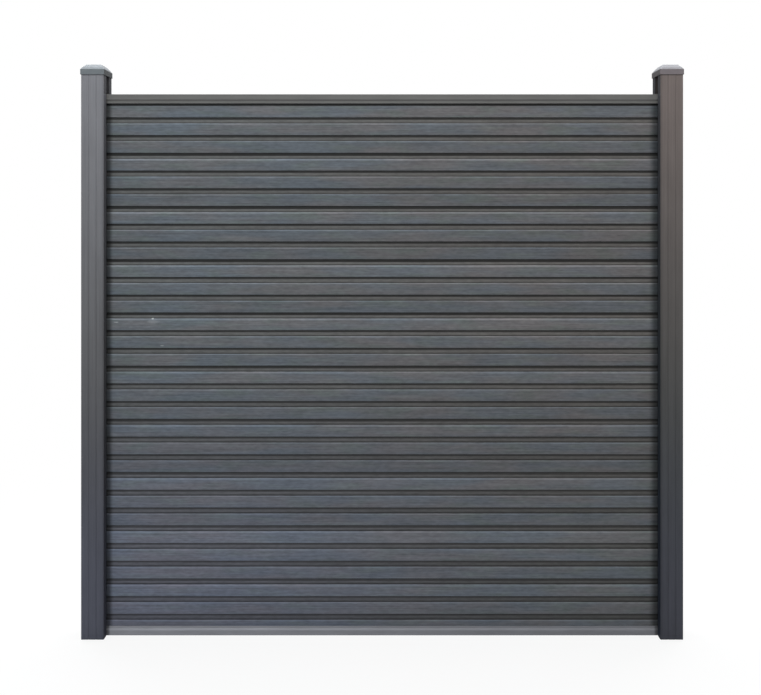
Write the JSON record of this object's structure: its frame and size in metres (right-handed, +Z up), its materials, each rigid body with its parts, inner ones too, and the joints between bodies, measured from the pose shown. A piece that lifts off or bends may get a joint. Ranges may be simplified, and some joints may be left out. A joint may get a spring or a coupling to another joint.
{
  "type": "composite garden screen",
  "caption": "Garden fence screen of stacked horizontal ribbed composite boards held between slotted square posts with slip-over caps, a top rail and a bottom rail.",
  "frame": {"origin": "on the ground under the middle of the screen, half way between its front and back", "axes": "+X along the screen from the left post to the right one, +Z up, the front faces -Y"},
  "size_m": [1.984, 0.079, 1.893],
  "materials": {
    "post_composite": "brushed, matt grey",
    "cap_plastic": "moulded, satin grey",
    "rail_paint": "satin grey powder coat",
    "board_composite": "brushed lengthwise, matt grey"
  },
  "bodies": {
    "root": {"left_post": "post_composite", "right_post": "post_composite", "left_post_cap": "cap_plastic", "right_post_cap": "cap_plastic", "top_rail": "rail_paint", "bottom_rail": "rail_paint", "board_01": "board_composite", "board_02": "board_composite", "board_03": "board_composite", "board_04": "board_composite", "board_05": "board_composite", "board_06": "board_composite", "board_07": "board_composite", "board_08": "board_composite", "board_09": "board_composite", "board_10": "board_composite"}
  },
  "joints": []
}
